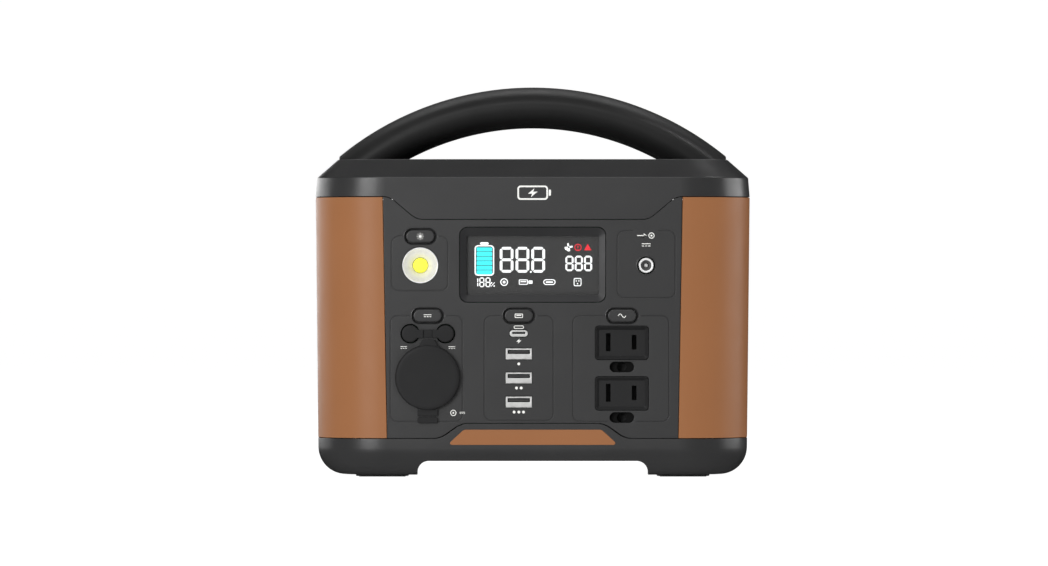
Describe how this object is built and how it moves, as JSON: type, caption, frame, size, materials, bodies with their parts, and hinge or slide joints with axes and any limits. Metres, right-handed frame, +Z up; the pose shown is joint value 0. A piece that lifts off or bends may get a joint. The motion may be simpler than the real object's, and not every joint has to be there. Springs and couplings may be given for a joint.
{
  "type": "portable power station",
  "caption": "Portable battery power station with arched carry handle, display, lamp and covered sockets.",
  "frame": {"origin": "centre of the bounding box at the ground, between the four feet", "axes": "+Z up, +X to the right of the front panel, the front panel faces -Y"},
  "size_m": [0.2144, 0.1352, 0.1927],
  "materials": {
    "dark_plastic": "fine moulded texture, charcoal grey",
    "black_plastic": "plain black moulding",
    "brown_plastic": "satin copper-brown moulding with fine grain",
    "soft_rubber": "matt soft rubber",
    "steel": "bright nickel-plated steel",
    "copper": "bare and lacquered copper",
    "display_glass": "clear moulded lens",
    "reflector": "bright white reflector",
    "emitter": "yellow phosphor over the emitter",
    "circuit_board": "green laminate with lacquer",
    "cell_wrap": "heat-shrunk wrap",
    "aluminium": "extruded fins"
  },
  "bodies": {
    "station": {"top_cover": "dark_plastic", "base_tray": "dark_plastic", "front_panel": "dark_plastic", "rear_panel": "dark_plastic", "handle_shell": "dark_plastic", "display_frame": "dark_plastic", "handle_liner": "black_plastic", "lcd_module": "black_plastic", "lamp_switch": "black_plastic", "dc_switch": "black_plastic", "usb_switch": "black_plastic", "ac_switch": "black_plastic", "dc_jack_left": "black_plastic", "dc_jack_right": "black_plastic", "ac_outlet_upper": "black_plastic", "ac_outlet_lower": "black_plastic", "battery_cradle": "black_plastic", "battery_cover": "black_plastic", "fan_frame": "black_plastic", "left_side_panel": "brown_plastic", "right_side_panel": "brown_plastic", "accent_strip": "brown_plastic", "foot_front_left": "soft_rubber", "foot_front_right": "soft_rubber", "foot_rear_left": "soft_rubber", "foot_rear_right": "soft_rubber", "vehicle_socket_cap_anchor": "soft_rubber", "dc_cover_bridge": "soft_rubber", "case_screw_front_left": "steel", "case_screw_front_right": "steel", "case_screw_rear_left": "steel", "case_screw_rear_right": "steel", "vehicle_socket_barrel": "steel", "usb_c_port": "steel", "usb_a_port_1": "steel", "usb_a_port_2": "steel", "usb_a_port_3": "steel", "input_jack": "steel", "vehicle_socket_contact": "copper", "transformer": "copper", "display_window": "display_glass", "lamp_lens": "display_glass", "lamp_reflector": "reflector", "lamp_emitter": "emitter", "front_board": "circuit_board", "inverter_board": "circuit_board", "battery_board": "circuit_board", "battery_cells": "cell_wrap", "heat_sink": "aluminium"},
    "lamp_key": {"lamp_button": "dark_plastic"},
    "dc_key": {"dc_button": "dark_plastic"},
    "usb_key": {"usb_button": "dark_plastic"},
    "ac_key": {"ac_button": "dark_plastic"},
    "socket_lid": {"vehicle_socket_cap": "soft_rubber"},
    "dc_lid_left": {"dc_cover_left": "soft_rubber"},
    "dc_lid_right": {"dc_cover_right": "soft_rubber"},
    "fan_wheel": {"fan_rotor": "black_plastic"}
  },
  "joints": [
    {"name": "lamp_press", "type": "slide", "parent": "station", "child": "lamp_key", "axis": [0, 1, 0], "range_m": [0, 0.0008], "stiffness_N_per_m": 1500},
    {"name": "dc_press", "type": "slide", "parent": "station", "child": "dc_key", "axis": [0, 1, 0], "range_m": [0, 0.0008], "stiffness_N_per_m": 1500},
    {"name": "usb_press", "type": "slide", "parent": "station", "child": "usb_key", "axis": [0, 1, 0], "range_m": [0, 0.0008], "stiffness_N_per_m": 1500},
    {"name": "ac_press", "type": "slide", "parent": "station", "child": "ac_key", "axis": [0, 1, 0], "range_m": [0, 0.0008], "stiffness_N_per_m": 1500},
    {"name": "socket_lid_hinge", "type": "hinge", "parent": "station", "child": "socket_lid", "pos_m": [-0.0515, -0.0656, 0.0299], "axis": [1, 0, 0], "range_deg": [0, 130], "stiffness_Nm_per_rad": 0.02},
    {"name": "dc_lid_left_hinge", "type": "hinge", "parent": "station", "child": "dc_lid_left", "pos_m": [-0.05355, -0.0653, 0.0705], "axis": [0, 0, 1], "range_deg": [0, 90], "stiffness_Nm_per_rad": 0.001},
    {"name": "dc_lid_right_hinge", "type": "hinge", "parent": "station", "child": "dc_lid_right", "pos_m": [-0.04925, -0.0653, 0.0705], "axis": [0, 0, -1], "range_deg": [0, 90], "stiffness_Nm_per_rad": 0.001},
    {"name": "fan_spin", "type": "hinge", "parent": "station", "child": "fan_wheel", "pos_m": [0.05, 0.0556, 0.1106], "axis": [0, 1, 0], "continuous": true}
  ]
}
